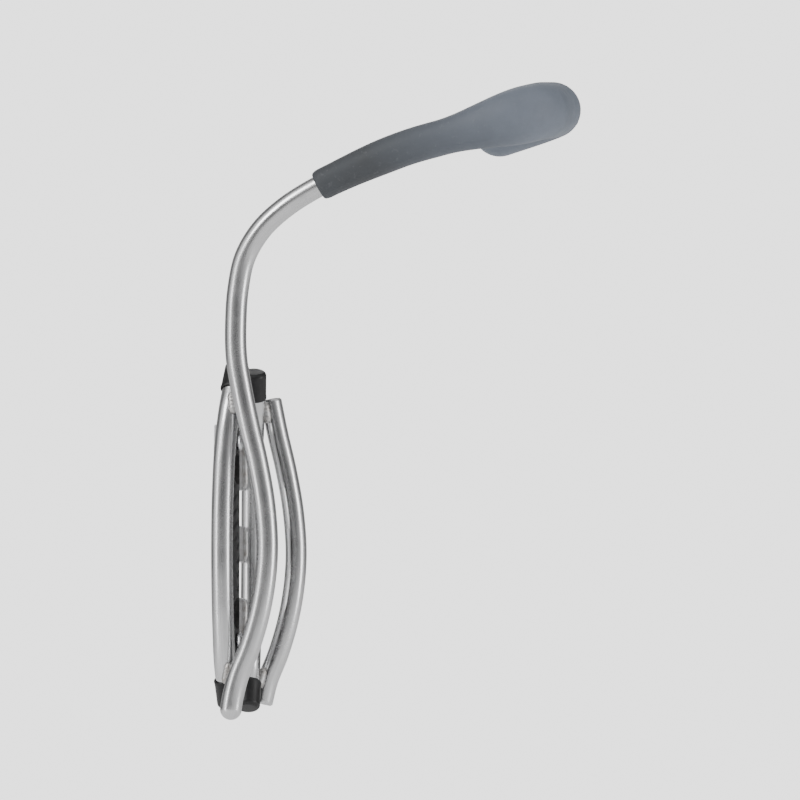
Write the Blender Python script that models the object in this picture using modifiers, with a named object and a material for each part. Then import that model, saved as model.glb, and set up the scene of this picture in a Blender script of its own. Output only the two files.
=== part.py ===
"""Wall rack that holds a bicycle upright by its front wheel.

Four bent steel rods are welded to three flat straps that screw to the wall. Two rods lie near the
wall and curve like a pair of brackets, and two bow out beside the tyre. The near bow runs on up
into a long arm, which ends in a rubber-covered hook that passes through the wheel.

Units are metres. X points out of the wall, Z is up, and Y runs across the rack, so -Y is the
near side that carries the hook. The origin is on the wall, behind the centre of the middle strap.
"""

import math

import bmesh
import bpy
from mathutils import Matrix, Vector

MM = 0.001

ROD_RADIUS = 4.75 * MM  # 9.5 mm round bar
GAP = 0.3 * MM  # left between two touching pieces
BORE_GAP = 0.4 * MM  # left between the rod and the rubber around it

BOW_Y = 33.0 * MM  # the two bows stand this far to each side of the wheel's plane

STRAP_THICKNESS = 2.5 * MM
STRAP_Z = (24 * MM, 50 * MM)  # the outer straps' near and far edges, from the middle
MIDDLE_STRAP_HALF_HEIGHT = 8 * MM
MIDDLE_STRAP_HALF_WIDTH = 28.9 * MM
# The outer straps narrow from the near edge to the far one, because the rods draw together there.
UPPER_STRAP_HALF_WIDTHS = (27.9 * MM, 25.6 * MM)
LOWER_STRAP_HALF_WIDTHS = (28.0 * MM, 24.7 * MM)
WALL_HOLE_RADIUS = 3.5 * MM  # takes a 5 or 6 mm wood screw
PAD_SCREW_HOLE_RADIUS = 2.3 * MM  # takes an M4 screw
WALL_HOLE_Z = 32 * MM
PAD_SCREW_Z = 44 * MM

PAD_HALF_WIDTH = 11 * MM
PAD_HALF_LENGTH = 62 * MM
PAD_BACK = STRAP_THICKNESS + GAP
PAD_EDGE_THICKNESS = 1.2 * MM
PAD_CROWN_THICKNESS = 2.7 * MM
WALL_HEAD_HOLE_RADIUS = 7.0 * MM  # lets the head of the wall's screw down to the strap
PAD_HOLE_REACH = 20 * MM  # how far out from the wall the holes are cut

PAD_SCREW_RADIUS = 2.0 * MM
PAD_SCREW_HEAD_RADIUS = 3.8 * MM
PAD_SCREW_HEAD_HEIGHT = 1.9 * MM
PAD_SCREW_TIP_X = 0.4 * MM

CAP_WALL = 0.6 * MM
CAP_BORE_RADIUS = ROD_RADIUS + GAP
CAP_RADIUS = CAP_BORE_RADIUS + CAP_WALL
CAP_LENGTH = 13 * MM
CAP_END = 1.8 * MM  # thickness of the closed end

SLEEVE_START_X = 48 * MM
HOOK_BEND_RADIUS = 18 * MM

STEP_ALONG_ROD = 6 * MM
DOME_RINGS = 5

# Out from the wall and up, in mm, from the foot through the bow and the neck to the long arm.
HOOK_ROD_XZ = (
    (9.3, -75.1), (9.9, -71), (12.4, -61), (17.2, -49), (22.4, -31), (25.4, -6),
    (24.2, 14), (20.9, 33), (16.9, 50), (13.8, 65), (11.6, 78), (11.2, 95),
    (12.2, 109), (15.3, 123), (22.6, 135), (33.4, 144.7), (45.2, 152), (58.5, 158.4),
    (73.6, 164.8), (88.7, 170.2), (103.8, 174.2), (118.8, 178.2),
)
FAR_BOW_CORNERS = slice(1, 10)  # the far bow follows these corners of the same line
# The arm turns at the first corner to pass through the wheel, and at the second to come back.
HOOK_CORNERS = (Vector((144.2, -33.0, 184.6)) * MM, Vector((144.8, 31.0, 192.6)) * MM)
HOOK_TIP = Vector((118.0, 31.0, 184.2)) * MM  # centre of the rubber's rounded end

# Out from the wall, across and up, in mm, for the rods beside the pad, from the top down.
WALL_ROD_XYZ = (
    (9.0, 18.9, 74.6), (8.0, 23.5, 65), (7.4, 26.9, 58), (6.0, 30.6, 40), (5.4, 32.6, 20),
    (5.2, 33.2, 0), (5.2, 32.6, -20), (5.3, 30.6, -40), (5.5, 26.7, -58), (5.8, 23.3, -65),
    (6.1, 20.4, -71.4),
)

# Distance along the rubber sleeve from its open end, and its radius there, in mm.
SLEEVE_RADII = (
    (0, 6.0), (1.2, 6.6), (3, 6.9), (18, 7.2), (34, 7.8), (56, 7.9), (64, 8.1), (72, 9.1),
    (80, 10.6), (88, 11.9), (96, 12.6), (108, 12.6), (154, 12.3), (204, 12.0),
)

STEEL = ((0.56, 0.56, 0.57), 0.34, 1.0)
ZINC = ((0.62, 0.63, 0.65), 0.30, 1.0)
SLEEVE_RUBBER = ((0.115, 0.135, 0.16), 0.72, 0.0)
BLACK_RUBBER = ((0.012, 0.012, 0.012), 0.62, 0.0)
BLACK_VINYL = ((0.01, 0.01, 0.01), 0.45, 0.0)


def clear_scene():
    for obj in list(bpy.data.objects):
        bpy.data.objects.remove(obj, do_unlink=True)


def new_collection(name):
    collection = bpy.data.collections.new(name)
    bpy.context.scene.collection.children.link(collection)
    return collection


def finish_piece(obj, finish, collection):
    """Give the piece its own material and put it in the rack's collection."""
    colour, roughness, metallic = finish
    material = bpy.data.materials.new(obj.name)
    material.use_nodes = True
    shader = material.node_tree.nodes["Principled BSDF"]
    shader.inputs["Base Color"].default_value = (*colour, 1)
    shader.inputs["Roughness"].default_value = roughness
    shader.inputs["Metallic"].default_value = metallic
    obj.data.materials.clear()
    obj.data.materials.append(material)
    for other in list(obj.users_collection):
        other.objects.unlink(obj)
    collection.objects.link(obj)
    return obj


def finish_cutter(obj, cutters):
    for other in list(obj.users_collection):
        other.objects.unlink(obj)
    cutters.objects.link(obj)
    obj.hide_render = True
    obj.display_type = "WIRE"
    return obj


def smooth_shade(mesh):
    mesh.shade_smooth()
    mesh.set_sharp_from_angle(angle=math.radians(35))


# ---------------------------------------------------------------- paths


def smooth_path(corners, step):
    """Points a step apart on one smooth curve through all the corners."""
    last = len(corners) - 1
    spans = [(corners[i + 1] - corners[i]).length for i in range(last)]
    slopes = []
    for i, corner in enumerate(corners):
        before = (corner - corners[i - 1]) / spans[i - 1] if i > 0 else None
        after = (corners[i + 1] - corner) / spans[i] if i < last else None
        if before is None or after is None:
            slopes.append(before or after)
        else:
            share = spans[i - 1] / (spans[i - 1] + spans[i])
            slopes.append(before.lerp(after, share))
    points = []
    for i, span in enumerate(spans):
        count = max(1, round(span / step))
        for k in range(count):
            t = k / count
            points.append(
                corners[i] * (1 + 2 * t) * (1 - t) ** 2
                + slopes[i] * span * t * (1 - t) ** 2
                + corners[i + 1] * t * t * (3 - 2 * t)
                - slopes[i + 1] * span * t * t * (1 - t)
            )
    return points + [corners[last]]


def bend(before, corner, after, radius, turns=8):
    """Points round a bend of this radius that replaces a sharp corner."""
    incoming = (corner - before).normalized()
    outgoing = (after - corner).normalized()
    angle = incoming.angle(outgoing)
    start = corner - incoming * radius * math.tan(angle / 2)
    inward = (outgoing - incoming * outgoing.dot(incoming)).normalized()
    centre = start + inward * radius
    points = []
    for k in range(turns + 1):
        turned = angle * k / turns
        points.append(centre - inward * radius * math.cos(turned) + incoming * radius * math.sin(turned))
    return points


def straight(start, end, step):
    count = max(1, round((end - start).length / step))
    return [start.lerp(end, k / count) for k in range(1, count + 1)]


def distances(points):
    """How far along the path each point is."""
    found = [0.0]
    for a, b in zip(points, points[1:]):
        found.append(found[-1] + (b - a).length)
    return found


def eased(stations, at):
    """A value read from a list of stations, eased between each pair."""
    for (a, low), (b, high) in zip(stations, stations[1:]):
        if at <= b:
            t = (at - a) / (b - a)
            return low + (high - low) * t * t * (3 - 2 * t)
    return stations[-1][1]


def bow_corners(side):
    return [Vector((x, side * BOW_Y / MM, z)) * MM for x, z in HOOK_ROD_XZ]


def wall_rod_corners(side):
    return [Vector((x, side * y, z)) * MM for x, y, z in WALL_ROD_XYZ]


def hook_arm_path():
    """The near rod's centreline, from its foot to the centre of the hook's rounded end."""
    flat = bow_corners(-1)
    first, second = HOOK_CORNERS
    points = smooth_path(flat, STEP_ALONG_ROD)
    points += bend(flat[-1], first, second, HOOK_BEND_RADIUS)
    turn_back = bend(first, second, HOOK_TIP, HOOK_BEND_RADIUS)
    points += straight(points[-1], turn_back[0], STEP_ALONG_ROD)[:-1]
    points += turn_back
    return points + straight(turn_back[-1], HOOK_TIP, STEP_ALONG_ROD)


def covered_by_rubber(points):
    """The stretch of the arm's path inside the sleeve, which starts exactly at SLEEVE_START_X."""
    first = next(i for i, point in enumerate(points) if point.x > SLEEVE_START_X)
    before, after = points[first - 1], points[first]
    share = (SLEEVE_START_X - before.x) / (after.x - before.x)
    return [before.lerp(after, share)] + points[first:]


def add_dome(points, radii):
    """Rounds off the end of a bar with shrinking rings ahead of its last point."""
    centre, radius = points[-1], radii[-1]
    forward = (centre - points[-2]).normalized()
    for k in range(1, DOME_RINGS + 1):
        angle = math.radians(88) * k / DOME_RINGS
        points.append(centre + forward * radius * math.sin(angle))
        radii.append(radius * math.cos(angle))


# ---------------------------------------------------------------- solids


def tube(name, points, radii, roundness=4):
    """A round bar along the points, as a curve with filled ends and a radius at each point."""
    curve = bpy.data.curves.new(name, "CURVE")
    curve.dimensions = "3D"
    curve.bevel_depth = 1.0
    curve.bevel_resolution = roundness
    curve.use_fill_caps = True
    spline = curve.splines.new("POLY")
    spline.points.add(len(points) - 1)
    for i, (point, radius) in enumerate(zip(points, radii)):
        spline.points[i].co = (*point, 1)
        spline.points[i].radius = radius
    spline.use_smooth = True
    obj = bpy.data.objects.new(name, curve)
    bpy.context.scene.collection.objects.link(obj)
    return obj


def rod(name, points):
    return tube(name, points, [ROD_RADIUS] * len(points))


def as_mesh(obj):
    """The object with its curve turned into a welded mesh."""
    bpy.context.view_layer.update()
    graph = bpy.context.evaluated_depsgraph_get()
    mesh = bpy.data.meshes.new_from_object(obj.evaluated_get(graph))
    work = bmesh.new()
    work.from_mesh(mesh)
    bmesh.ops.remove_doubles(work, verts=work.verts, dist=1e-6)
    bmesh.ops.recalc_face_normals(work, faces=work.faces)
    work.to_mesh(mesh)
    work.free()
    solid = bpy.data.objects.new(obj.name, mesh)
    solid.matrix_world = obj.matrix_world
    name = obj.name
    bpy.data.objects.remove(obj, do_unlink=True)
    solid.name = name
    bpy.context.scene.collection.objects.link(solid)
    smooth_shade(mesh)
    return solid


def cut(obj, cutter):
    modifier = obj.modifiers.new("cut_" + cutter.name, "BOOLEAN")
    modifier.operation = "DIFFERENCE"
    modifier.object = cutter
    modifier.solver = "EXACT"


def cylinder(name, radius, start, end, sides=24):
    """A cylinder between two points."""
    axis = end - start
    bpy.ops.mesh.primitive_cylinder_add(radius=radius, depth=axis.length, vertices=sides)
    obj = bpy.context.object
    obj.name = name
    turn = axis.to_track_quat("Z", "Y").to_matrix().to_4x4()
    obj.matrix_world = Matrix.Translation((start + end) / 2) @ turn
    smooth_shade(obj.data)
    return obj


def turned(name, profile, place, sides=24):
    """A turned piece: the profile is (radius, height) from the top of its axis round to the bottom."""
    mesh = bpy.data.meshes.new(name)
    work = bmesh.new()
    points = [work.verts.new((radius, 0, height)) for radius, height in profile]
    for a, b in zip(points, points[1:]):
        work.edges.new((a, b))
    work.to_mesh(mesh)
    work.free()
    obj = bpy.data.objects.new(name, mesh)
    bpy.context.scene.collection.objects.link(obj)
    obj.matrix_world = place
    screw = obj.modifiers.new("turn", "SCREW")
    screw.steps = sides
    screw.render_steps = sides
    screw.use_merge_vertices = True
    screw.merge_threshold = 0.00001
    return obj


# ---------------------------------------------------------------- the rack's pieces


def make_hook_rod(rack):
    """The near bow, neck and arm in one rod, from the hook's tip down to its rounded foot."""
    points = hook_arm_path()[::-1]
    radii = [ROD_RADIUS] * len(points)
    add_dome(points, radii)
    return finish_piece(tube("hook_rod", points, radii), STEEL, rack)


def make_hook_sleeve(rack, cutters):
    """Thick rubber over the arm's end: slim along the arm and fat where the rim rests on it."""
    arm = hook_arm_path()
    cover = covered_by_rubber(arm)
    radii = [eased(SLEEVE_RADII, d / MM) * MM for d in distances(cover)]
    forward = (cover[-1] - cover[-2]).normalized()
    add_dome(cover, radii)
    sleeve = as_mesh(tube("hook_sleeve", cover, radii, 6))
    bore_points = [p for p in arm if p.x >= SLEEVE_START_X - 2 * STEP_ALONG_ROD]
    bore_points.append(HOOK_TIP + forward * 2 * GAP)
    bore = as_mesh(tube("sleeve_bore", bore_points, [ROD_RADIUS + BORE_GAP] * len(bore_points)))
    cut(sleeve, finish_cutter(bore, cutters))
    return finish_piece(sleeve, SLEEVE_RUBBER, rack)


def make_far_bow(rack):
    """The same bow on the far side, which stops short at both ends."""
    points = smooth_path(bow_corners(1)[FAR_BOW_CORNERS], STEP_ALONG_ROD)
    return finish_piece(rod("far_bow_rod", points), STEEL, rack)


def make_wall_rods(rack):
    for name, side in (("near_wall_rod", -1), ("far_wall_rod", 1)):
        points = smooth_path(wall_rod_corners(side), STEP_ALONG_ROD)
        finish_piece(rod(name, points), STEEL, rack)


def make_caps(rack):
    """A vinyl cap over each end of the two wall rods."""
    for side_name, side in (("near", -1), ("far", 1)):
        corners = wall_rod_corners(side)
        for end_name, end, before in (
            ("upper", corners[0], corners[1]),
            ("lower", corners[-1], corners[-2]),
        ):
            top = GAP + CAP_END
            mouth = top - CAP_LENGTH
            profile = (
                (0, top),
                (CAP_RADIUS * 0.55, top - 0.1 * MM),
                (CAP_RADIUS * 0.88, top - 0.7 * MM),
                (CAP_RADIUS, top - 1.8 * MM),
                (CAP_RADIUS, mouth),
                (CAP_BORE_RADIUS, mouth),
                (CAP_BORE_RADIUS, GAP),
                (0, GAP),
            )
            turn = (end - before).to_track_quat("Z", "Y").to_matrix().to_4x4()
            cap = turned(f"{side_name}_{end_name}_cap", profile, Matrix.Translation(end) @ turn)
            finish_piece(cap, BLACK_VINYL, rack)


def make_strap(name, outline, holes, rack):
    """A flat steel strap against the wall; outline and holes are given across and up."""
    curve = bpy.data.curves.new(name, "CURVE")
    curve.dimensions = "2D"
    curve.fill_mode = "BOTH"
    curve.extrude = STRAP_THICKNESS / 2
    loops = [outline]
    for (y, z), radius in holes:
        turns = [2 * math.pi * k / 24 for k in range(24)]
        loops.append([(y + radius * math.cos(a), z + radius * math.sin(a)) for a in turns])
    for loop in loops:
        spline = curve.splines.new("POLY")
        spline.points.add(len(loop) - 1)
        for i, (y, z) in enumerate(loop):
            spline.points[i].co = (y, z, 0, 1)
        spline.use_cyclic_u = True
    strap = bpy.data.objects.new(name, curve)
    bpy.context.scene.collection.objects.link(strap)
    # The curve's own x and y become the rack's Y and Z, and its thickness runs out from the wall.
    upright = Matrix(((0, 0, 1, STRAP_THICKNESS / 2), (1, 0, 0, 0), (0, 1, 0, 0), (0, 0, 0, 1)))
    strap.matrix_world = upright
    return finish_piece(as_mesh(strap), STEEL, rack)


def make_straps(rack):
    inner, outer = STRAP_Z
    for name, up, (wide, narrow) in (
        ("upper_strap", 1, UPPER_STRAP_HALF_WIDTHS),
        ("lower_strap", -1, LOWER_STRAP_HALF_WIDTHS),
    ):
        outline = [(-wide, inner * up), (wide, inner * up), (narrow, outer * up), (-narrow, outer * up)]
        holes = [((0, WALL_HOLE_Z * up), WALL_HOLE_RADIUS), ((0, PAD_SCREW_Z * up), PAD_SCREW_HOLE_RADIUS)]
        make_strap(name, outline, holes, rack)
    half, tall = MIDDLE_STRAP_HALF_WIDTH, MIDDLE_STRAP_HALF_HEIGHT
    make_strap("middle_strap", [(-half, -tall), (half, -tall), (half, tall), (-half, tall)], [], rack)


def make_tyre_pad(rack, cutters):
    """A domed rubber strip over the straps, which the tyre leans on."""
    curve = bpy.data.curves.new("tyre_pad", "CURVE")
    curve.dimensions = "2D"
    curve.fill_mode = "BOTH"
    curve.extrude = PAD_HALF_LENGTH
    rise = PAD_CROWN_THICKNESS - PAD_EDGE_THICKNESS
    section = [(PAD_BACK, PAD_HALF_WIDTH), (PAD_BACK, -PAD_HALF_WIDTH)]
    for k in range(9):
        across = -1 + k / 4
        thickness = PAD_EDGE_THICKNESS + rise * (1 - across * across)
        section.append((PAD_BACK + thickness, across * PAD_HALF_WIDTH))
    spline = curve.splines.new("POLY")
    spline.points.add(len(section) - 1)
    for i, (x, y) in enumerate(section):
        spline.points[i].co = (x, y, 0, 1)
    spline.use_cyclic_u = True
    pad = bpy.data.objects.new("tyre_pad", curve)
    bpy.context.scene.collection.objects.link(pad)
    pad = as_mesh(pad)
    for up in (-1, 1):
        for label, z, radius in (
            ("wall_screw_head", WALL_HOLE_Z, WALL_HEAD_HOLE_RADIUS),
            ("pad_screw", PAD_SCREW_Z, PAD_SCREW_HOLE_RADIUS),
        ):
            start = Vector((0, 0, z * up))
            end = Vector((PAD_HOLE_REACH, 0, z * up))
            hole = cylinder(f"{label}_hole_{up}", radius, start, end)
            cut(pad, finish_cutter(hole, cutters))
    return finish_piece(pad, BLACK_RUBBER, rack)


def make_pad_screws(rack):
    """A domed screw near each end of the pad, through the rubber into the strap."""
    seat = PAD_BACK + PAD_CROWN_THICKNESS + GAP
    head, height = PAD_SCREW_HEAD_RADIUS, PAD_SCREW_HEAD_HEIGHT
    profile = (
        (0, seat + height),
        (head * 0.5, seat + height * 0.9),
        (head * 0.85, seat + height * 0.6),
        (head, seat + height * 0.15),
        (head, seat),
        (PAD_SCREW_RADIUS, seat),
        (PAD_SCREW_RADIUS, PAD_SCREW_TIP_X),
        (0, PAD_SCREW_TIP_X),
    )
    for label, up in (("upper", 1), ("lower", -1)):
        place = Matrix.Translation((0, 0, PAD_SCREW_Z * up)) @ Matrix.Rotation(math.pi / 2, 4, "Y")
        finish_piece(turned(f"{label}_pad_screw", profile, place), ZINC, rack)


def main():
    clear_scene()
    rack = new_collection("bicycle_wall_rack")
    cutters = new_collection("cutters")
    make_hook_rod(rack)
    make_far_bow(rack)
    make_wall_rods(rack)
    make_straps(rack)
    make_tyre_pad(rack, cutters)
    make_pad_screws(rack)
    make_caps(rack)
    make_hook_sleeve(rack, cutters)


main()
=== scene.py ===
"""Looks of the bicycle wall rack: fine rods with weld beads, a rubber sleeve, a ribbed pad and small parts.

Units are metres. X points out of the wall, Z is up, and the near side, which carries the hook, is at -Y.
"""

import math

import bmesh
import bpy
from mathutils import Matrix, Vector


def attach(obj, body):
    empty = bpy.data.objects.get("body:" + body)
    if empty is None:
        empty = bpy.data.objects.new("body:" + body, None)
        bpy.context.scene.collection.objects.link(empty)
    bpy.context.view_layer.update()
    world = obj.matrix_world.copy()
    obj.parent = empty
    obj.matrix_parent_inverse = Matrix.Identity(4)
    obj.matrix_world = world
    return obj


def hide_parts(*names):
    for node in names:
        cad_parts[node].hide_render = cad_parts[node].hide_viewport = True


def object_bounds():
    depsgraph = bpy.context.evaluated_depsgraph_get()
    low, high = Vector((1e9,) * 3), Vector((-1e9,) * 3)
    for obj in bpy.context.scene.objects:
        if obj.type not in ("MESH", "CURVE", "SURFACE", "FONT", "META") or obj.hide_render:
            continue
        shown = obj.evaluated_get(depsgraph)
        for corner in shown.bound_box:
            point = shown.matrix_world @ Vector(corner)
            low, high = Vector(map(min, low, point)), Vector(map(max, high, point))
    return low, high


MM = 0.001

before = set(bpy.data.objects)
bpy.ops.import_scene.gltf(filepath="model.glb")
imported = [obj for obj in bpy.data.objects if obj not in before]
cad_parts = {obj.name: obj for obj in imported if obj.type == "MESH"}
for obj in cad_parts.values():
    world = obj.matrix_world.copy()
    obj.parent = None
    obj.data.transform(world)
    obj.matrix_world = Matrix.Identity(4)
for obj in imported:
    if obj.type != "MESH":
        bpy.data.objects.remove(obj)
CAD_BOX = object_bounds()

# ---------------------------------------------------------------- the rack's own sizes, as in the CAD

ROD_RADIUS = 4.75 * MM
GAP = 0.3 * MM
BORE_RADIUS = ROD_RADIUS + 0.4 * MM
BOW_Y = 33.0 * MM
STRAP_THICKNESS = 2.5 * MM
STRAP_Z = (24 * MM, 50 * MM)
MIDDLE_STRAP_HALF_HEIGHT = 8 * MM
MIDDLE_STRAP_HALF_WIDTH = 28.9 * MM
UPPER_STRAP_HALF_WIDTHS = (27.9 * MM, 25.6 * MM)
LOWER_STRAP_HALF_WIDTHS = (28.0 * MM, 24.7 * MM)
WALL_HOLE_RADIUS = 3.5 * MM
PAD_SCREW_HOLE_RADIUS = 2.3 * MM
WALL_HOLE_Z = 32 * MM
PAD_SCREW_Z = 44 * MM
WALL_HEAD_HOLE_RADIUS = 7.0 * MM
PAD_HALF_WIDTH = 11 * MM
PAD_HALF_LENGTH = 62 * MM
PAD_BACK = STRAP_THICKNESS + GAP
PAD_EDGE_THICKNESS = 1.2 * MM
PAD_CROWN_THICKNESS = 2.7 * MM
CAP_BORE_RADIUS = ROD_RADIUS + GAP
CAP_RADIUS = CAP_BORE_RADIUS + 0.6 * MM
CAP_LENGTH = 13 * MM
CAP_END = 1.8 * MM
SCREW_HEAD_RADIUS = 3.8 * MM
SCREW_HEAD_HEIGHT = 1.9 * MM
SCREW_RADIUS = 2.0 * MM
SCREW_TIP_X = 0.4 * MM
SLEEVE_START_X = 48 * MM
HOOK_BEND_RADIUS = 18 * MM

# Out from the wall and up, in mm, from the foot through the bow and the neck to the long arm.
HOOK_ROD_XZ = (
    (9.3, -75.1), (9.9, -71), (12.4, -61), (17.2, -49), (22.4, -31), (25.4, -6),
    (24.2, 14), (20.9, 33), (16.9, 50), (13.8, 65), (11.6, 78), (11.2, 95),
    (12.2, 109), (15.3, 123), (22.6, 135), (33.4, 144.7), (45.2, 152), (58.5, 158.4),
    (73.6, 164.8), (88.7, 170.2), (103.8, 174.2), (118.8, 178.2),
)
FAR_BOW_CORNERS = slice(1, 10)
HOOK_CORNERS = (Vector((144.2, -33.0, 184.6)) * MM, Vector((144.8, 31.0, 192.6)) * MM)
HOOK_TIP = Vector((118.0, 31.0, 184.2)) * MM

# Out from the wall, across and up, in mm, for the rods beside the pad, from the top down.
WALL_ROD_XYZ = (
    (9.0, 18.9, 74.6), (8.0, 23.5, 65), (7.4, 26.9, 58), (6.0, 30.6, 40), (5.4, 32.6, 20),
    (5.2, 33.2, 0), (5.2, 32.6, -20), (5.3, 30.6, -40), (5.5, 26.7, -58), (5.8, 23.3, -65),
    (6.1, 20.4, -71.4),
)

# Distance along the rubber sleeve from its open end, and its radius there, in mm.
SLEEVE_RADII = (
    (0, 5.9), (0.5, 6.4), (1.4, 6.75), (3, 6.9), (36, 7.8), (58, 7.9),
    (98, 12.6), (108, 12.6), (154, 12.3), (204, 12.0),
)

# ---------------------------------------------------------------- sizes that only the looks have

ROD_STEP = 1.8 * MM
ROD_SIDES = 40
ROD_CHAMFER = 0.7 * MM
SLEEVE_STEP = 1.2 * MM
SLEEVE_SIDES = 72
MOULDING_RIDGE = 0.12 * MM  # height of the moulding line
DOME_RINGS = 14
DOME_END = math.radians(89)  # just short of a right angle, so that the last ring isn't a point

WELD_REACH = 7 * MM  # how far the heat of a weld has coloured the steel
WELD_SIDES = 16
WELD_TAPER = 2 * MM
WELD_RIPPLE = 1.7 * MM
WELD_RIPPLE_DEPTH = 0.12  # as a share of the bead's radius
WELD_END = 0.25  # the bead's radius at its ends, as a share of its radius
CROSSING_WELD_RADIUS = 2.0 * MM
CROSSING_WELD_OFFSET = 2.5 * MM  # of the two beads at a crossing, from the line between the rods
CROSSING_WELD_STEP = 0.4 * MM
CROSSING_WELD_STEPS = 12  # each way from the middle
CROSSING_HEIGHTS = (40 * MM, 72 * MM)  # the rods cross between these, above and below the middle
STRAP_WELD_RADIUS = 1.5 * MM
STRAP_WELD_STEPS = 48
STRAP_WELD_MARGIN = 0.04  # bare share of the strap's height at each end of the bead
STRAP_WELD_TOWARD_ROD = 0.7 * MM
STRAP_WELD_PROUD = 0.25 * MM  # how far its middle stands in front of the strap's face

STRAP_ROUNDING = 0.45 * MM
HOLE_SIDES = 64

PAD_ROWS = 400
PAD_COLUMNS = 44
PAD_CORNER = 5.0 * MM
PAD_SOFT_END = 1.5 * MM
PAD_SOFT_EDGE = 1.0 * MM
PAD_LEAST_THICKNESS = 0.3 * MM
PAD_RIM_HEIGHT = 0.35  # where its rounded edge starts, as a share of its thickness
GROOVE_PITCH = 6.2 * MM
GROOVE_SLANT = 0.55
GROOVE_DEPTH = 0.75 * MM
GROOVE_HALF_WIDTH = 0.19  # as a share of the pitch
GROOVE_STEEPNESS = 1.8  # above 1, a groove has a flat floor
GROOVED_WIDTH = 0.86  # as a share of the pad's width
GROOVE_FADE = 1.2 * MM
GROOVE_RING_FADE = 0.8 * MM
PAD_SCREW_RING = 4.6 * MM  # radius of the plain ring about a pad screw
WALL_SCREW_RING = WALL_HEAD_HOLE_RADIUS + 1.4 * MM

SCREW_TURNS = 9
SCREW_ROOT = 0.82  # the thread's inner radius, as a share of its outer
SCREW_DOME = math.radians(80)  # how far round its ball the head's top goes
SCREW_DOME_HEIGHT = 0.72  # as a share of the head's height
CROSS_LENGTH = 4.0 * MM
CROSS_WIDTH = 0.85 * MM
CROSS_DEPTH = 1.6 * MM
CROSS_TAPER = 0.45  # the recess's size at its bottom, as a share of its size at its mouth
CROSS_BELOW_TOP = 0.45 * MM  # of the cutter's middle

# ---------------------------------------------------------------- camera and studio

CAMERA_FROM_CENTRE = Vector((0.536, -3.0, -0.221))
CAMERA_LENS = 312
SENSOR_WIDTH = 36
FLOOR_SIZE = 12
FLOOR_DROP = 0.37
FLOOR_GLOW = 0.25

# Brightness of the studio by the cosine of the angle from the camera's direction, from behind the rack.
STUDIO_RING = (
    (-1.0, 0.40), (-0.6, 0.20), (-0.35, 0.14), (-0.12, 0.45),
    (0.05, 1.0), (0.50, 1.0), (0.72, 0.36), (1.0, 0.10),
)
STUDIO_STRENGTH = 1.15
BACKDROP_STRENGTH = 2.4

# Each light's place from the rack's centre, its width and height, and its power in watts.
LIGHTS = (
    ("key", (-1.6, -2.0, 1.8), (0.9, 1.4), 40),
    ("fill", (2.6, -0.5, 0.3), (0.6, 1.6), 22),
    ("wall_side", (-1.9, -1.5, 0.0), (0.4, 1.8), 11),
    ("back", (-0.6, 2.6, 1.9), (1.6, 1.2), 14),
)


# ---------------------------------------------------------------- paths


def smooth_path(corners, step):
    """Points a step apart on one smooth curve through all the corners."""
    last = len(corners) - 1
    spans = [(corners[i + 1] - corners[i]).length for i in range(last)]
    slopes = []
    for i, corner in enumerate(corners):
        before = (corner - corners[i - 1]) / spans[i - 1] if i > 0 else None
        after = (corners[i + 1] - corner) / spans[i] if i < last else None
        if before is None or after is None:
            slopes.append(before or after)
        else:
            slopes.append(before.lerp(after, spans[i - 1] / (spans[i - 1] + spans[i])))
    points = []
    for i, span in enumerate(spans):
        count = max(1, round(span / step))
        for k in range(count):
            t = k / count
            points.append(
                corners[i] * (1 + 2 * t) * (1 - t) ** 2
                + slopes[i] * span * t * (1 - t) ** 2
                + corners[i + 1] * t * t * (3 - 2 * t)
                - slopes[i + 1] * span * t * t * (1 - t)
            )
    return points + [corners[last]]


def bend(before, corner, after, radius, turns):
    """Points round a bend of this radius that replaces a sharp corner."""
    incoming = (corner - before).normalized()
    outgoing = (after - corner).normalized()
    angle = incoming.angle(outgoing)
    start = corner - incoming * radius * math.tan(angle / 2)
    inward = (outgoing - incoming * outgoing.dot(incoming)).normalized()
    centre = start + inward * radius
    points = []
    for k in range(turns + 1):
        turned = angle * k / turns
        points.append(centre - inward * radius * math.cos(turned) + incoming * radius * math.sin(turned))
    return points


def straight(start, end, step):
    """Points about a step apart from the start, which is left out, to the end."""
    count = max(1, round((end - start).length / step))
    return [start.lerp(end, k / count) for k in range(1, count + 1)]


def distances(points):
    """How far along the line each of its points is."""
    found = [0.0]
    for a, b in zip(points, points[1:]):
        found.append(found[-1] + (b - a).length)
    return found


def eased(stations, at):
    """A value read from a list of stations, eased between each pair."""
    for (a, low), (b, high) in zip(stations, stations[1:]):
        if at <= b:
            t = (at - a) / (b - a)
            return low + (high - low) * t * t * (3 - 2 * t)
    return stations[-1][1]


def bow_corners(side):
    """The points that a rod passes in the plane of one bow, from the foot up."""
    return [Vector((x, side * BOW_Y / MM, z)) * MM for x, z in HOOK_ROD_XZ]


def wall_rod_corners(side):
    """The points that one wall rod passes, from the top down."""
    return [Vector((x, side * y, z)) * MM for x, y, z in WALL_ROD_XYZ]


def hook_arm_path(step):
    """The near rod's centreline, from its foot to the centre of the hook's rounded end."""
    flat = bow_corners(-1)
    first, second = HOOK_CORNERS
    turns = round(HOOK_BEND_RADIUS * math.pi / 2 / step)
    points = smooth_path(flat, step)
    points += bend(flat[-1], first, second, HOOK_BEND_RADIUS, turns)
    turn_back = bend(first, second, HOOK_TIP, HOOK_BEND_RADIUS, turns)
    points += straight(points[-1], turn_back[0], step)[:-1]
    points += turn_back
    return points + straight(turn_back[-1], HOOK_TIP, step)


def covered_by_rubber(points):
    """The stretch of the arm's path inside the sleeve, which starts exactly at SLEEVE_START_X."""
    first = next(i for i, point in enumerate(points) if point.x > SLEEVE_START_X)
    before, after = points[first - 1], points[first]
    share = (SLEEVE_START_X - before.x) / (after.x - before.x)
    return [before.lerp(after, share)] + points[first:]


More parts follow.
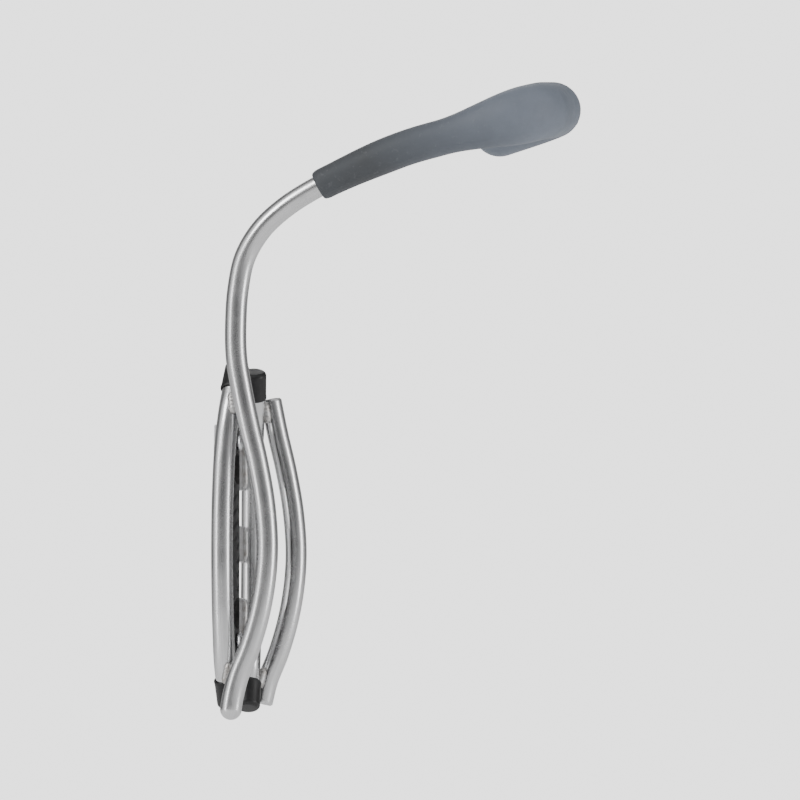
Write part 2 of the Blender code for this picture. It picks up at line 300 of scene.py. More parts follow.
def add_dome(points, radii):
    """Rounds off the end of a bar with shrinking rings ahead of its last point."""
    centre, radius = points[-1], radii[-1]
    forward = (centre - points[-2]).normalized()
    for k in range(1, DOME_RINGS + 1):
        angle = DOME_END * k / DOME_RINGS
        points.append(centre + forward * radius * math.sin(angle))
        radii.append(radius * math.cos(angle))


# ---------------------------------------------------------------- solids


def new_object(name, work):
    """A smooth-shaded object from the bmesh, which this frees."""
    mesh = bpy.data.meshes.new(name)
    bmesh.ops.recalc_face_normals(work, faces=work.faces)
    work.to_mesh(mesh)
    work.free()
    mesh.shade_smooth()
    obj = bpy.data.objects.new(name, mesh)
    bpy.context.scene.collection.objects.link(obj)
    return obj


def transported(points):
    """Two cross directions at each point, which never twist."""
    across = None
    found = []
    for i, point in enumerate(points):
        tangent = (points[min(i + 1, len(points) - 1)] - points[max(i - 1, 0)]).normalized()
        if across is None:
            across = tangent.orthogonal().normalized()
        across = (across - tangent * across.dot(tangent)).normalized()
        found.append((across, tangent.cross(across)))
    return found


def bar_rings(work, points, frames, radii, along, sides, ridge=0.0):
    """Rings of points round the bar; each remembers its place: round the bar, and metres along it."""
    place = work.verts.layers.float_vector.new("bar")
    rings = []
    for point, (across, up), radius, distance in zip(points, frames, radii, along):
        ring = []
        for k in range(sides):
            angle = 2 * math.pi * k / sides
            outward = across * math.cos(angle) + up * math.sin(angle)
            on_ridge = ridge and radius > BORE_RADIUS and k % (sides // 2) == 0
            vert = work.verts.new(point + outward * (radius + (ridge if on_ridge else 0)))
            vert[place] = (math.cos(angle), math.sin(angle), distance)
            ring.append(vert)
        rings.append(ring)
    return rings


def join_rings(work, rings):
    """Skins the rings one after another and closes both ends."""
    for lower, upper in zip(rings, rings[1:]):
        for k in range(len(lower)):
            after = (k + 1) % len(lower)
            work.faces.new((lower[k], lower[after], upper[after], upper[k]))
    work.faces.new(rings[0])
    work.faces.new(rings[-1])


def sweep(name, points, radii, sides, welds=()):
    """A closed bar along the points, which also remembers how close each point is to a weld."""
    work = bmesh.new()
    work.verts.layers.float.new("heat")
    frames = transported(points)
    join_rings(work, bar_rings(work, points, frames, radii, distances(points), sides))
    heat = work.verts.layers.float["heat"]
    for vert in work.verts:
        near = min(((vert.co - weld).length for weld in welds), default=WELD_REACH)
        vert[heat] = max(0.0, 1 - near / WELD_REACH)
    return new_object(name, work)


def circle(radius, sides):
    """2D points round a circle about the origin."""
    turns = [2 * math.pi * k / sides for k in range(sides)]
    return [(radius * math.cos(a), radius * math.sin(a)) for a in turns]


def turned(name, profile, place, sides=64):
    """A turned piece from (radius, height) points, which run from the axis back to the axis."""
    work = bmesh.new()
    rings = []
    for radius, height in profile:
        around = circle(radius, sides) if radius > 0 else [(0, 0)]
        rings.append([work.verts.new((x, y, height)) for x, y in around])
    for upper, lower in zip(rings, rings[1:]):
        for k in range(sides):
            after = (k + 1) % sides
            corners = [upper[k % len(upper)], upper[after % len(upper)]]
            corners += [lower[after % len(lower)], lower[k % len(lower)]]
            unique = [c for i, c in enumerate(corners) if c not in corners[:i]]
            work.faces.new(unique)
    obj = new_object(name, work)
    obj.data.transform(place)
    return obj


def rounded(corner_before, corner, corner_after, radius, turns):
    """2D points that round a profile's corner."""
    corners = [Vector((*place, 0)) for place in (corner_before, corner, corner_after)]
    return [(point.x, point.y) for point in bend(*corners, radius, turns)]


def carve(obj, cutters):
    """Cuts every cutter out of the object's mesh, then removes the cutters."""
    for cutter in cutters:
        modifier = obj.modifiers.new("cut", "BOOLEAN")
        modifier.operation = "DIFFERENCE"
        modifier.object = cutter
        modifier.solver = "EXACT"
    bpy.context.view_layer.update()
    graph = bpy.context.evaluated_depsgraph_get()
    mesh = bpy.data.meshes.new_from_object(obj.evaluated_get(graph))
    obj.modifiers.clear()
    obj.data = mesh
    for cutter in cutters:
        bpy.data.objects.remove(cutter, do_unlink=True)


def sharpen(obj, degrees):
    """Shades the object smooth, apart from the edges that are sharper than this."""
    obj.data.shade_smooth()
    obj.data.set_sharp_from_angle(angle=math.radians(degrees))
    return obj


def piece(obj, material, slot, *nodes):
    """Gives the object its material, hangs it on the root body, and hides the CAD nodes it stands for, if
    there are any.
    """
    obj.data.materials.clear()
    obj.data.materials.append(material)
    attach(obj, "root")
    if nodes:
        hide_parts(*nodes)


# ---------------------------------------------------------------- materials


class Nodes:
    """Adds nodes to a tree in one line each."""

    def __init__(self, tree):
        self.tree = tree

    def add(self, kind, inputs=(), **settings):
        node = self.tree.nodes.new(kind)
        for key, value in settings.items():
            setattr(node, key, value)
        for key, value in dict(inputs).items():
            self.set(node, key, value)
        return node

    def set(self, node, key, value):
        if isinstance(value, bpy.types.NodeSocket):
            self.tree.links.new(value, node.inputs[key])
        else:
            node.inputs[key].default_value = value

    def noise(self, vector, scale, detail=3.0, roughness=0.5):
        inputs = {"Vector": vector, "Scale": scale, "Detail": detail, "Roughness": roughness}
        return self.add("ShaderNodeTexNoise", inputs).outputs["Fac"]

    def stretched(self, vector, scale):
        return self.add("ShaderNodeMapping", {"Vector": vector, "Scale": scale}).outputs[0]

    def ranged(self, value, low, high, to_low, to_high):
        inputs = {"Value": value, "From Min": low, "From Max": high, "To Min": to_low, "To Max": to_high}
        return self.add("ShaderNodeMapRange", inputs).outputs["Result"]

    def mixed(self, factor, first, second):
        node = self.add("ShaderNodeMix", data_type="RGBA")
        self.set(node, 0, factor)
        for index, colour in ((6, first), (7, second)):
            self.set(node, index, (*colour, 1) if isinstance(colour, tuple) else colour)
        return node.outputs[2]

    def math(self, operation, first, second):
        node = self.add("ShaderNodeMath", operation=operation)
        self.set(node, 0, first)
        self.set(node, 1, second)
        return node.outputs[0]

    def bump(self, height, strength, distance, under=None):
        inputs = {"Height": height, "Strength": strength, "Distance": distance}
        if under is not None:
            inputs["Normal"] = under
        return self.add("ShaderNodeBump", inputs).outputs[0]


class Surface(Nodes):
    """The nodes of a new material, about its Principled shader."""

    def __init__(self, name):
        self.material = bpy.data.materials.new(name)
        self.material.use_nodes = True
        super().__init__(self.material.node_tree)
        self.shader = self.tree.nodes["Principled BSDF"]

    def place(self):
        """Where a point of the surface is, in its object's own coordinates."""
        return self.add("ShaderNodeTexCoord").outputs["Object"]

    def remembered(self, name, output):
        """What the mesh stores at its points under this name."""
        return self.add("ShaderNodeAttribute", attribute_name=name).outputs[output]

    def finish(self, colour, roughness, normal, **constants):
        self.set(self.shader, "Base Color", colour)
        self.set(self.shader, "Roughness", roughness)
        self.set(self.shader, "Normal", normal)
        for key, value in constants.items():
            self.shader.inputs[key.replace("_", " ")].default_value = value
        return self.material


def steel_bar():
    """Satin drawn bar: fine lines along its length, soft smudges, and straw-brown heat beside the welds."""
    dark, bright = (0.50, 0.50, 0.505), (0.66, 0.66, 0.665)
    smudged, scorched = (0.40, 0.40, 0.41), (0.30, 0.25, 0.19)
    n = Surface("satin_steel_bar")
    bar = n.remembered("bar", "Vector")
    place = n.place()
    lines = n.noise(n.stretched(bar, (26, 26, 22)), 1.0, 4.0, 0.65)
    smudge = n.noise(place, 55, 4.0, 0.6)
    specks = n.noise(place, 1300, 2.0, 0.5)
    colour = n.mixed(n.ranged(lines, 0.3, 0.7, 0, 1), dark, bright)
    colour = n.mixed(n.ranged(smudge, 0.5, 0.75, 0, 0.35), colour, smudged)
    heat = n.remembered("heat", "Fac")
    uneven = n.math("MULTIPLY", heat, n.ranged(smudge, 0.3, 0.7, 0.35, 1.0))
    colour = n.mixed(n.ranged(uneven, 0.1, 0.9, 0, 0.55), colour, scorched)
    roughness = n.ranged(smudge, 0.3, 0.7, 0.20, 0.31)
    roughness = n.math("ADD", roughness, n.ranged(uneven, 0.2, 1.0, 0, 0.15))
    normal = n.bump(lines, 0.08, 0.0002)
    normal = n.bump(specks, 0.02, 0.0001, normal)
    return n.finish(colour, roughness, normal, Metallic=1.0)


def steel_plate():
    """Satin strip with its grain across the rack."""
    dark, bright, smudged = (0.46, 0.46, 0.465), (0.60, 0.60, 0.605), (0.36, 0.36, 0.37)
    n = Surface("satin_steel_plate")
    place = n.place()
    grain = n.noise(n.stretched(place, (900, 60, 2600)), 1.0, 3.0, 0.6)
    smudge = n.noise(place, 70, 4.0, 0.6)
    colour = n.mixed(n.ranged(grain, 0.3, 0.7, 0, 1), dark, bright)
    colour = n.mixed(n.ranged(smudge, 0.5, 0.8, 0, 0.4), colour, smudged)
    roughness = n.ranged(smudge, 0.3, 0.7, 0.30, 0.44)
    return n.finish(colour, roughness, n.bump(grain, 0.12, 0.0002), Metallic=1.0)


def weld_metal():
    """Rippled weld bead, greyer and rougher than the bars."""
    burnt, clean = (0.36, 0.34, 0.32), (0.55, 0.55, 0.55)
    n = Surface("weld_bead")
    place = n.place()
    spatter = n.noise(place, 1400, 4.0, 0.6)
    tone = n.noise(place, 300, 3.0, 0.5)
    colour = n.mixed(n.ranged(tone, 0.35, 0.65, 0, 1), burnt, clean)
    roughness = n.ranged(tone, 0.3, 0.7, 0.34, 0.52)
    return n.finish(colour, roughness, n.bump(spatter, 0.25, 0.0003), Metallic=1.0)


def sleeve_rubber():
    """Matte blue-grey rubber: fine pebble grain, with painted light that makes it paler and bluer where it
    is thick.
    """
    thin, painted_light_fat_end = (0.056, 0.060, 0.065), (0.158, 0.180, 0.218)
    worn, dusty = (0.085, 0.095, 0.110), (0.24, 0.25, 0.27)
    n = Surface("blue_grey_rubber")
    bar = n.remembered("bar", "Vector")
    place = n.place()
    distance = n.add("ShaderNodeSeparateXYZ", {"Vector": bar}).outputs["Z"]
    grain = n.noise(place, 2300, 3.0, 0.6)
    blotch = n.noise(place, 42, 4.0, 0.6)
    dust = n.noise(place, 420, 5.0, 0.7)
    # Painted light: the colour runs from the thin part's colour to a paler, bluer fat end, as if lit there.
    colour = n.mixed(n.ranged(distance, 25 * MM, 95 * MM, 0, 1), thin, painted_light_fat_end)
    colour = n.mixed(n.ranged(blotch, 0.35, 0.7, 0, 0.35), colour, worn)
    colour = n.mixed(n.ranged(dust, 0.58, 0.8, 0, 0.30), colour, dusty)
    roughness = n.ranged(blotch, 0.3, 0.7, 0.52, 0.68)
    normal = n.bump(grain, 0.22, 0.00025)
    normal = n.bump(blotch, 0.05, 0.001, normal)
    return n.finish(colour, roughness, normal, IOR=1.45, Specular_IOR_Level=0.35)


def pad_rubber():
    """Black rubber, dusty in its grooves and clean on its crown."""
    black, dusty = (0.009, 0.009, 0.0095), (0.05, 0.048, 0.045)
    n = Surface("black_pad_rubber")
    place = n.place()
    height = n.add("ShaderNodeSeparateXYZ", {"Vector": place}).outputs["X"]
    grain = n.noise(place, 1800, 3.0, 0.6)
    dust = n.noise(place, 260, 5.0, 0.7)
    low = n.ranged(height, 4.5 * MM, 6.2 * MM, 1, 0)
    colour = n.mixed(n.math("MULTIPLY", low, n.ranged(dust, 0.4, 0.7, 0, 0.6)), black, dusty)
    roughness = n.ranged(dust, 0.3, 0.7, 0.50, 0.68)
    return n.finish(colour, roughness, n.bump(grain, 0.2, 0.00025), IOR=1.45, Specular_IOR_Level=0.35)


def cap_vinyl():
    """Soft black vinyl with a faint bloom."""
    black, bloomed = (0.008, 0.008, 0.0085), (0.026, 0.026, 0.027)
    n = Surface("black_cap_vinyl")
    place = n.place()
    grain = n.noise(place, 1500, 2.0, 0.5)
    bloom = n.noise(place, 240, 4.0, 0.6)
    colour = n.mixed(n.ranged(bloom, 0.45, 0.75, 0, 0.5), black, bloomed)
    roughness = n.ranged(bloom, 0.3, 0.7, 0.34, 0.50)
    return n.finish(colour, roughness, n.bump(grain, 0.12, 0.0002), IOR=1.45, Specular_IOR_Level=0.4)


def zinc_plate():
    """Bright zinc, finely pitted, with a few dull spots."""
    bright, dull = (0.68, 0.69, 0.71), (0.48, 0.48, 0.47)
    n = Surface("zinc_plate")
    place = n.place()
    spots = n.noise(place, 900, 4.0, 0.6)
    fine = n.noise(place, 4200, 2.0, 0.5)
    colour = n.mixed(n.ranged(spots, 0.45, 0.75, 0, 0.6), bright, dull)
    roughness = n.ranged(spots, 0.3, 0.7, 0.20, 0.36)
    return n.finish(colour, roughness, n.bump(fine, 0.12, 0.0001), Metallic=1.0)


# ---------------------------------------------------------------- pieces


def crossings(bow, wall_rod):
    """Where the bow lies closest to the wall rod, above and below the middle, as pairs of centres."""
    lowest, highest = CROSSING_HEIGHTS
    found = []
    for up in (1, -1):
        pairs = [(a, b) for a in bow for b in wall_rod if lowest < a.z * up < highest]
        found.append(min(pairs, key=lambda pair: (pair[0] - pair[1]).length))
    return found


def bead(name, points, radius, material):
    """A weld bead: a short bar with overlapping ripples and tapering ends."""
    along = distances(points)
    total = along[-1]
    radii = []
    for distance in along:
        ends = min(1.0, distance / WELD_TAPER, (total - distance) / WELD_TAPER)
        ripple = abs(math.sin(math.pi * distance / WELD_RIPPLE))
        swell = WELD_END + (1 - WELD_END) * math.sqrt(max(0.0, ends))
        radii.append(radius * swell * (1 - WELD_RIPPLE_DEPTH + WELD_RIPPLE_DEPTH * ripple))
    piece(sweep(name, points, radii, WELD_SIDES), material, "steel_rod")


def weld_crossing(name, bow_point, wall_point, weld):
    """Two beads, in front of and behind the line between two rods that cross; returns the weld's middle."""
    middle = (bow_point + wall_point) / 2
    toward = (wall_point - bow_point).normalized()
    upright = Vector((0, 0, 1))
    lean = (upright - toward * upright.dot(toward)).normalized()
    outward = toward.cross(lean)
    for label, turn in (("front", 1), ("back", -1)):
        centre = middle + outward * turn * CROSSING_WELD_OFFSET
        steps = range(-CROSSING_WELD_STEPS, CROSSING_WELD_STEPS + 1)
        points = [centre + lean * CROSSING_WELD_STEP * k for k in steps]
        bead(f"{name}_crossing_weld_{label}", points, CROSSING_WELD_RADIUS, weld)
    return middle


def heat_at_straps(walls):
    """Three hot spots on each wall rod at each strap, on the side where the strap meets it."""
    inner, outer = STRAP_Z
    spots = []
    for middle, reach in (((inner + outer) / 2, 11 * MM), (0, 6 * MM), (-(inner + outer) / 2, 11 * MM)):
        for side, rod in walls.items():
            for level in (middle - reach, middle, middle + reach):
                nearest = min(rod, key=lambda point: abs(point.z - level))
                spots.append(nearest - Vector((2, side * 4, 0)) * MM)
    return spots


def make_rods(steel, weld):
    """The four bars, welded where they cross, with the steel tinted by the heat of every weld."""
    near_arm = hook_arm_path(ROD_STEP)
    far_bow = smooth_path(bow_corners(1)[FAR_BOW_CORNERS], ROD_STEP)
    walls = {side: smooth_path(wall_rod_corners(side), ROD_STEP) for side in (-1, 1)}
    heat = []
    for side, name, bow in ((-1, "near", near_arm), (1, "far", far_bow)):
        for height, (bow_point, wall_point) in zip(("upper", "lower"), crossings(bow, walls[side])):
            heat.append(weld_crossing(f"{name}_{height}", bow_point, wall_point, weld))
    heat += heat_at_straps(walls)
    points = near_arm[::-1]
    radii = [ROD_RADIUS] * len(points)
    add_dome(points, radii)
    piece(sweep("hook_bar", points, radii, ROD_SIDES, welds=heat), steel, "steel_rod", "hook_rod")
    for name, path, node in (
        ("far_bow_bar", far_bow, "far_bow_rod"),
        ("near_wall_bar", walls[-1], "near_wall_rod"),
        ("far_wall_bar", walls[1], "far_wall_rod"),
    ):
        points, radii = chamfered_bar(path)
        piece(sweep(name, points, radii, ROD_SIDES, welds=heat), steel, "steel_rod", node)


def chamfered_bar(path):
    """The bar's points and radii, with a small chamfer on each sawn end."""
    start = (path[1] - path[0]).normalized()
    end = (path[-1] - path[-2]).normalized()
    points = [path[0], path[0] + start * ROD_CHAMFER, *path[1:-1], path[-1] - end * ROD_CHAMFER, path[-1]]
    tip = ROD_RADIUS - ROD_CHAMFER
    return points, [tip] + [ROD_RADIUS] * (len(points) - 2) + [tip]


def make_sleeve(rubber):
    """Rubber over the arm's end, with a rounded mouth, a blind bore and a faint moulding line on two sides.

    It is one skin that runs out through the bore, turns over the mouth, and comes back along the outside.
    """
    bore = covered_by_rubber(hook_arm_path(SLEEVE_STEP))
    outer = list(bore)
    radii = [eased(SLEEVE_RADII, d / MM) * MM for d in distances(outer)]
    add_dome(outer, radii)
    frames = transported(outer)
    along = distances(outer)
    inner = len(bore)
    points = bore[::-1] + outer
    radii = [BORE_RADIUS] * inner + radii
    frames = frames[:inner][::-1] + frames
    along = along[:inner][::-1] + along
    work = bmesh.new()
    join_rings(work, bar_rings(work, points, frames, radii, along, SLEEVE_SIDES, MOULDING_RIDGE))
    piece(new_object("hook_rubber", work), rubber, "sleeve_rubber", "hook_sleeve")


def make_strap(name, node, outline, holes, steel):
    """A flat strap with softly rounded edges, drawn flat and then stood up against the wall."""
    curve = bpy.data.curves.new(name, "CURVE")
    curve.dimensions = "2D"
    curve.fill_mode = "BOTH"
    curve.extrude = STRAP_THICKNESS / 2 - STRAP_ROUNDING
    curve.bevel_depth = STRAP_ROUNDING
    curve.bevel_resolution = 3
    curve.offset = -STRAP_ROUNDING
    loops = [outline]
    loops += [[(y, hole_z + z) for y, z in circle(radius, HOLE_SIDES)] for hole_z, radius in holes]
    for loop in loops:
        spline = curve.splines.new("POLY")
        spline.points.add(len(loop) - 1)
        for i, (y, z) in enumerate(loop):
            spline.points[i].co = (y, z, 0, 1)
        spline.use_cyclic_u = True
    flat = bpy.data.objects.new(name + "_outline", curve)
    bpy.context.scene.collection.objects.link(flat)
    bpy.context.view_layer.update()
    mesh = bpy.data.meshes.new_from_object(flat.evaluated_get(bpy.context.evaluated_depsgraph_get()))
    bpy.data.objects.remove(flat, do_unlink=True)
    work = bmesh.new()
    work.from_mesh(mesh)
    bmesh.ops.remove_doubles(work, verts=work.verts, dist=1e-6)
    strap = new_object(name, work)
    stand_up = Matrix(((0, 0, 1, STRAP_THICKNESS / 2), (1, 0, 0, 0), (0, 1, 0, 0), (0, 0, 0, 1)))
    strap.data.transform(stand_up)
    sharpen(strap, 40)
    for face in strap.data.polygons:
        is_flat_side = abs(face.normal.x) > 0.99
        face.use_smooth = not is_flat_side
    piece(strap, steel, "steel_strap", node)


def weld_strap(name, strap_end, rod, weld):
    """A bead up one end of a strap, from its first corner to its second, leaning on the rod."""
    (first_y, first_z), (second_y, second_z) = strap_end
    points = []
    for k in range(STRAP_WELD_STEPS + 1):
        t = STRAP_WELD_MARGIN + (1 - 2 * STRAP_WELD_MARGIN) * k / STRAP_WELD_STEPS
        z = first_z + (second_z - first_z) * t
        y = first_y + (second_y - first_y) * t
        centre = min(rod, key=lambda point: abs(point.z - z))
        on_strap = Vector((STRAP_THICKNESS, y, z))
        toward = Vector((centre.x, centre.y, z)) - on_strap
        lift = Vector((STRAP_WELD_PROUD, 0, 0))
        points.append(on_strap + toward.normalized() * STRAP_WELD_TOWARD_ROD + lift)
    bead(name, points, STRAP_WELD_RADIUS, weld)


def make_straps(steel, weld):
    """Three straps, each welded to the wall rods along its ends."""
    inner, outer = STRAP_Z
    middle = MIDDLE_STRAP_HALF_HEIGHT
    plans = (
        ("upper", (inner, outer), UPPER_STRAP_HALF_WIDTHS),
        ("middle", (-middle, middle), (MIDDLE_STRAP_HALF_WIDTH, MIDDLE_STRAP_HALF_WIDTH)),
        ("lower", (-inner, -outer), LOWER_STRAP_HALF_WIDTHS),
    )
    for label, (start, end), (wide, narrow) in plans:
        outline = [(-wide, start), (wide, start), (narrow, end), (-narrow, end)]
        holes = []
        if label != "middle":
            up = math.copysign(1, end)
            holes = [(WALL_HOLE_Z * up, WALL_HOLE_RADIUS), (PAD_SCREW_Z * up, PAD_SCREW_HOLE_RADIUS)]
        make_strap(f"{label}_plate", f"{label}_strap", outline, holes, steel)
        for side_name, side in (("near", -1), ("far", 1)):
            rod = smooth_path(wall_rod_corners(side), ROD_STEP)
            strap_end = ((side * wide, start), (side * narrow, end))
            weld_strap(f"{label}_strap_weld_{side_name}", strap_end, rod, weld)


def clamped(value):
    return min(1.0, max(0.0, value))


def groove(y, z):
    """How deep the pad's chevron grooves are at this place, from 0 to 1."""
    phase = ((abs(z) + GROOVE_SLANT * abs(y)) / GROOVE_PITCH) % 1.0
    shape = max(0.0, 1 - abs(phase - 0.5) / GROOVE_HALF_WIDTH)
    depth = min(1.0, shape * GROOVE_STEEPNESS)
    depth *= clamped((PAD_HALF_WIDTH * GROOVED_WIDTH - abs(y)) / GROOVE_FADE)
    depth *= clamped((PAD_HALF_LENGTH - PAD_CORNER - abs(z)) / GROOVE_FADE)
    for hole_z, ring in ((WALL_HOLE_Z, WALL_SCREW_RING), (PAD_SCREW_Z, PAD_SCREW_RING)):
        depth *= clamped((math.hypot(y, abs(z) - hole_z) - ring) / GROOVE_RING_FADE)
    return depth


def quarter_round(share):
    """The height of a rounded edge, from 0 at the edge to 1 where the rounding ends."""
    return math.sqrt(max(0.0, 1 - (1 - min(1.0, share)) ** 2))


def make_pad(rubber):
    """Domed black strip with chevron grooves, round corners and clear rings about its holes."""
    rise = PAD_CROWN_THICKNESS - PAD_EDGE_THICKNESS
    work = bmesh.new()
    rings = []
    for row in range(PAD_ROWS + 1):
        z = -PAD_HALF_LENGTH + 2 * PAD_HALF_LENGTH * row / PAD_ROWS
        into_corner = max(0.0, abs(z) - (PAD_HALF_LENGTH - PAD_CORNER))
        half = PAD_HALF_WIDTH - PAD_CORNER + math.sqrt(max(0.0, PAD_CORNER**2 - into_corner**2))
        soft_end = quarter_round((PAD_HALF_LENGTH - abs(z)) / PAD_SOFT_END)
        ring = [work.verts.new((PAD_BACK, half, z)), work.verts.new((PAD_BACK, -half, z))]
        for column in range(PAD_COLUMNS + 1):
            across = -1 + 2 * column / PAD_COLUMNS
            y = across * half
            soft_edge = quarter_round((1 - abs(across)) * half / PAD_SOFT_EDGE)
            dome = PAD_EDGE_THICKNESS + rise * (1 - (y / PAD_HALF_WIDTH) ** 2)
            softened = dome * (PAD_RIM_HEIGHT + (1 - PAD_RIM_HEIGHT) * min(soft_edge, soft_end))
            thick = softened - GROOVE_DEPTH * groove(y, z)
            ring.append(work.verts.new((PAD_BACK + max(PAD_LEAST_THICKNESS, thick), y, z)))
        rings.append(ring)
    join_rings(work, rings)
    pad = new_object("ribbed_pad", work)
    cutters = []
    front, back = 20 * MM, -2 * MM
    for up in (-1, 1):
        for z, radius in ((WALL_HOLE_Z, WALL_HEAD_HOLE_RADIUS), (PAD_SCREW_Z, PAD_SCREW_HOLE_RADIUS)):
            profile = ((0, front), (radius, front), (radius, back), (0, back))
            place = Matrix.Translation((0, 0, z * up)) @ Matrix.Rotation(math.pi / 2, 4, "Y")
            cutters.append(turned("cutter", profile, place))
    carve(pad, cutters)
    piece(sharpen(pad, 50), rubber, "pad_rubber", "tyre_pad")


def make_caps(vinyl):
    """Dipped vinyl caps with a rolled lip at the mouth and a softly rounded end."""
    top = GAP + CAP_END
    mouth = top - CAP_LENGTH
    slim = CAP_RADIUS - 0.16 * MM
    end_rounding = 1.9 * MM
    profile = [(0, top - 0.02 * MM), (CAP_RADIUS * 0.3, top)]
    profile += rounded((0, top), (slim, top), (slim, mouth), end_rounding, 12)
    profile += [
        (slim, mouth + 1.9 * MM),
        (CAP_RADIUS - 0.02 * MM, mouth + 1.4 * MM),
        (CAP_RADIUS, mouth + 0.9 * MM),
        (CAP_RADIUS - 0.03 * MM, mouth + 0.35 * MM),
        (CAP_RADIUS - 0.2 * MM, mouth + 0.05 * MM),
        (CAP_BORE_RADIUS + 0.2 * MM, mouth),
        (CAP_BORE_RADIUS, mouth + 0.2 * MM),
        (CAP_BORE_RADIUS, GAP),
        (0, GAP),
    ]
    for side_name, side in (("near", -1), ("far", 1)):
        corners = wall_rod_corners(side)
        ends = (("upper", corners[0], corners[1]), ("lower", corners[-1], corners[-2]))
        for end_name, end, next_in in ends:
            place = Matrix.Translation(end) @ (end - next_in).to_track_quat("Z", "Y").to_matrix().to_4x4()
            cap = turned(f"{side_name}_{end_name}_vinyl_cap", profile, place)
            piece(sharpen(cap, 40), vinyl, "cap_vinyl", f"{side_name}_{end_name}_cap")


def screw_profile(seat, top):
    """A domed head, then a shank with one groove for each turn of its thread."""
    dome_height = SCREW_HEAD_HEIGHT * SCREW_DOME_HEIGHT
    profile = [(0, top)]
    for k in range(1, 9):
        angle = SCREW_DOME * k / 8
        radius = SCREW_HEAD_RADIUS * math.sin(angle) / math.sin(SCREW_DOME)
        profile.append((radius, top - dome_height * (1 - math.cos(angle))))
    profile += [(SCREW_HEAD_RADIUS, seat + 0.25 * MM), (SCREW_HEAD_RADIUS - 0.2 * MM, seat)]
    profile.append((SCREW_RADIUS, seat))
    pitch = (seat - SCREW_TIP_X - 1 * MM) / SCREW_TURNS
    for k in range(SCREW_TURNS):
        height = seat - 0.5 * MM - k * pitch
        profile.append((SCREW_RADIUS, height - pitch * 0.25))
        profile.append((SCREW_RADIUS * SCREW_ROOT, height - pitch * 0.75))
    return profile + [(SCREW_RADIUS * 0.8, SCREW_TIP_X), (0, SCREW_TIP_X)]


def cross_blade(place, turn, top):
    """A cutter for one bar of the cross recess, tapering into the head."""
    work = bmesh.new()
    bmesh.ops.create_cube(work, size=1)
    for vert in work.verts:
        taper = 1.0 if vert.co.z > 0 else CROSS_TAPER
        x, y, z = vert.co
        vert.co = Vector((x * CROSS_LENGTH * taper, y * CROSS_WIDTH * taper, z * CROSS_DEPTH))
    blade = new_object("cutter", work)
    lift = Matrix.Translation((0, 0, top - CROSS_BELOW_TOP))
    blade.data.transform(place @ Matrix.Rotation(turn, 4, "Z") @ lift)
    return blade


def make_screws(zinc):
    """Pan heads with a cross recess, on shanks with grooves for a thread."""
    seat = PAD_BACK + PAD_CROWN_THICKNESS + GAP
    top = seat + SCREW_HEAD_HEIGHT
    profile = screw_profile(seat, top)
    for label, up in (("upper", 1), ("lower", -1)):
        place = Matrix.Translation((0, 0, PAD_SCREW_Z * up)) @ Matrix.Rotation(math.pi / 2, 4, "Y")
        screw = turned(f"{label}_pad_screw_cross", profile, place, 48)
        tightened = math.radians(20 * up)
        carve(screw, [cross_blade(place, tightened + turn, top) for turn in (0, math.pi / 2)])
        piece(sharpen(screw, 32), zinc, "zinc_screw", f"{label}_pad_screw")


# ---------------------------------------------------------------- stage, light and camera


def aim(obj, place, target):
    """Puts a camera or a light at a place, looking at the target."""
    obj.location = place
    obj.rotation_mode = "QUATERNION"
    obj.rotation_quaternion = (Vector(target) - Vector(place)).to_track_quat("-Z", "Y")


def make_camera(centre):
    """A long lens 3 m away, a little to the room's side of square-on and a little below."""
    data = bpy.data.cameras.new("camera")
    data.sensor_width = SENSOR_WIDTH
    data.lens = CAMERA_LENS
    camera = bpy.data.objects.new("camera", data)
    bpy.context.scene.collection.objects.link(camera)
    aim(camera, centre + CAMERA_FROM_CENTRE, centre)
    data.clip_start = 0.1
    data.clip_end = 60
    bpy.context.scene.camera = camera


def make_light(name, place, target, size, power):
    """A soft white rectangle of light, which the camera doesn't see."""
    data = bpy.data.lights.new(name, "AREA")
    data.shape = "RECTANGLE"
    data.size, data.size_y = size
    data.energy = power
    light = bpy.data.objects.new(name, data)
    bpy.context.scene.collection.objects.link(light)
    aim(light, place, target)
    light.visible_camera = False


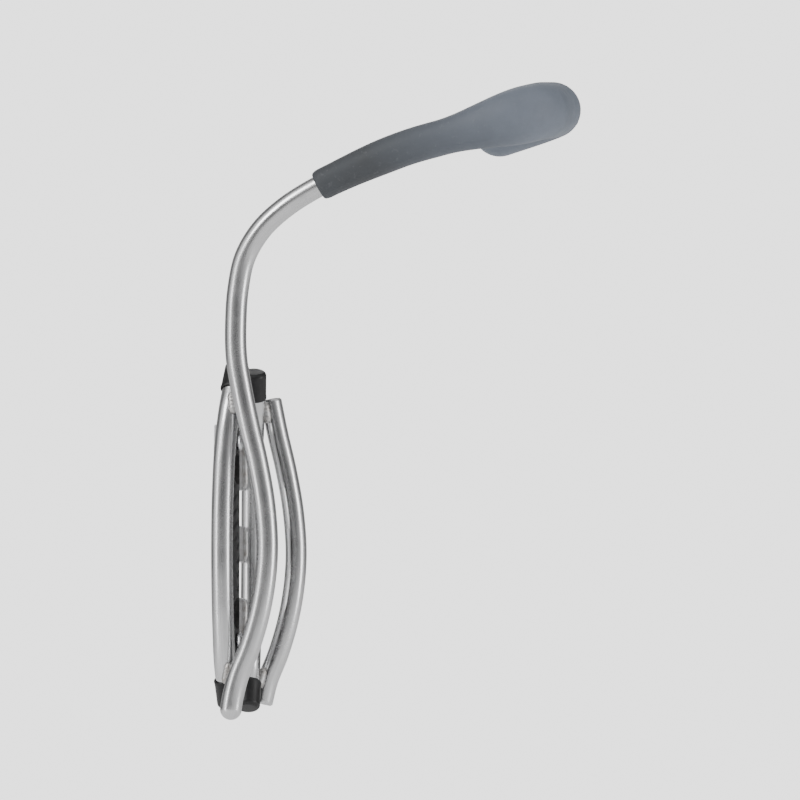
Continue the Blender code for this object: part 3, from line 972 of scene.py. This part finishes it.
def make_stage(centre):
    """A plain pale floor below the rack."""
    work = bmesh.new()
    bmesh.ops.create_grid(work, x_segments=1, y_segments=1, size=FLOOR_SIZE)
    floor = new_object("floor", work)
    floor.location = (centre.x, centre.y, CAD_BOX[0].z - FLOOR_DROP)
    n = Surface("pale_floor")
    tone = n.noise(n.place(), 3, 3.0, 0.5)
    colour = n.mixed(n.ranged(tone, 0.3, 0.7, 0, 1), (0.84, 0.84, 0.84), (0.88, 0.88, 0.88))
    glow = {"Emission_Color": (1, 1, 1, 1), "Emission_Strength": FLOOR_GLOW}
    floor.data.materials.append(n.finish(colour, 0.8, n.bump(tone, 0.02, 0.001), **glow))


def make_surround(centre):
    """A pale backdrop to look at and a studio to reflect, brightest in a ring beside the view."""
    world = bpy.data.worlds.new("surround")
    world.use_nodes = True
    n = Nodes(world.node_tree)
    n.tree.nodes.clear()
    to_camera = (bpy.context.scene.camera.location - centre).normalized()
    direction = n.add("ShaderNodeTexCoord").outputs["Generated"]
    facing = n.add("ShaderNodeVectorMath", {0: direction, 1: to_camera}, operation="DOT_PRODUCT")
    ramp = n.add("ShaderNodeValToRGB", {"Fac": n.ranged(facing.outputs["Value"], -1, 1, 0, 1)})
    stops = ramp.color_ramp.elements
    for facing_camera, brightness in STUDIO_RING:
        ends = {-1.0: stops[0], 1.0: stops[-1]}
        stop = ends.get(facing_camera) or stops.new((facing_camera + 1) / 2)
        stop.color = (brightness, brightness, brightness, 1)
    studio = {"Color": ramp.outputs["Color"], "Strength": STUDIO_STRENGTH}
    backdrop = {"Color": (1, 1, 1, 1), "Strength": BACKDROP_STRENGTH}
    reflected = n.add("ShaderNodeBackground", studio).outputs[0]
    looked_at = n.add("ShaderNodeBackground", backdrop).outputs[0]
    by_camera = n.add("ShaderNodeLightPath").outputs["Is Camera Ray"]
    chosen = n.add("ShaderNodeMixShader", {0: by_camera, 1: reflected, 2: looked_at}).outputs[0]
    n.add("ShaderNodeOutputWorld", {"Surface": chosen})
    bpy.context.scene.world = world


def main():
    centre = (CAD_BOX[0] + CAD_BOX[1]) / 2
    make_camera(centre)
    make_stage(centre)
    make_surround(centre)
    for name, place, size, power in LIGHTS:
        make_light(name, centre + Vector(place), centre, size, power)
    weld = weld_metal()
    make_rods(steel_bar(), weld)
    make_straps(steel_plate(), weld)
    make_sleeve(sleeve_rubber())
    make_pad(pad_rubber())
    make_caps(cap_vinyl())
    make_screws(zinc_plate())


main()
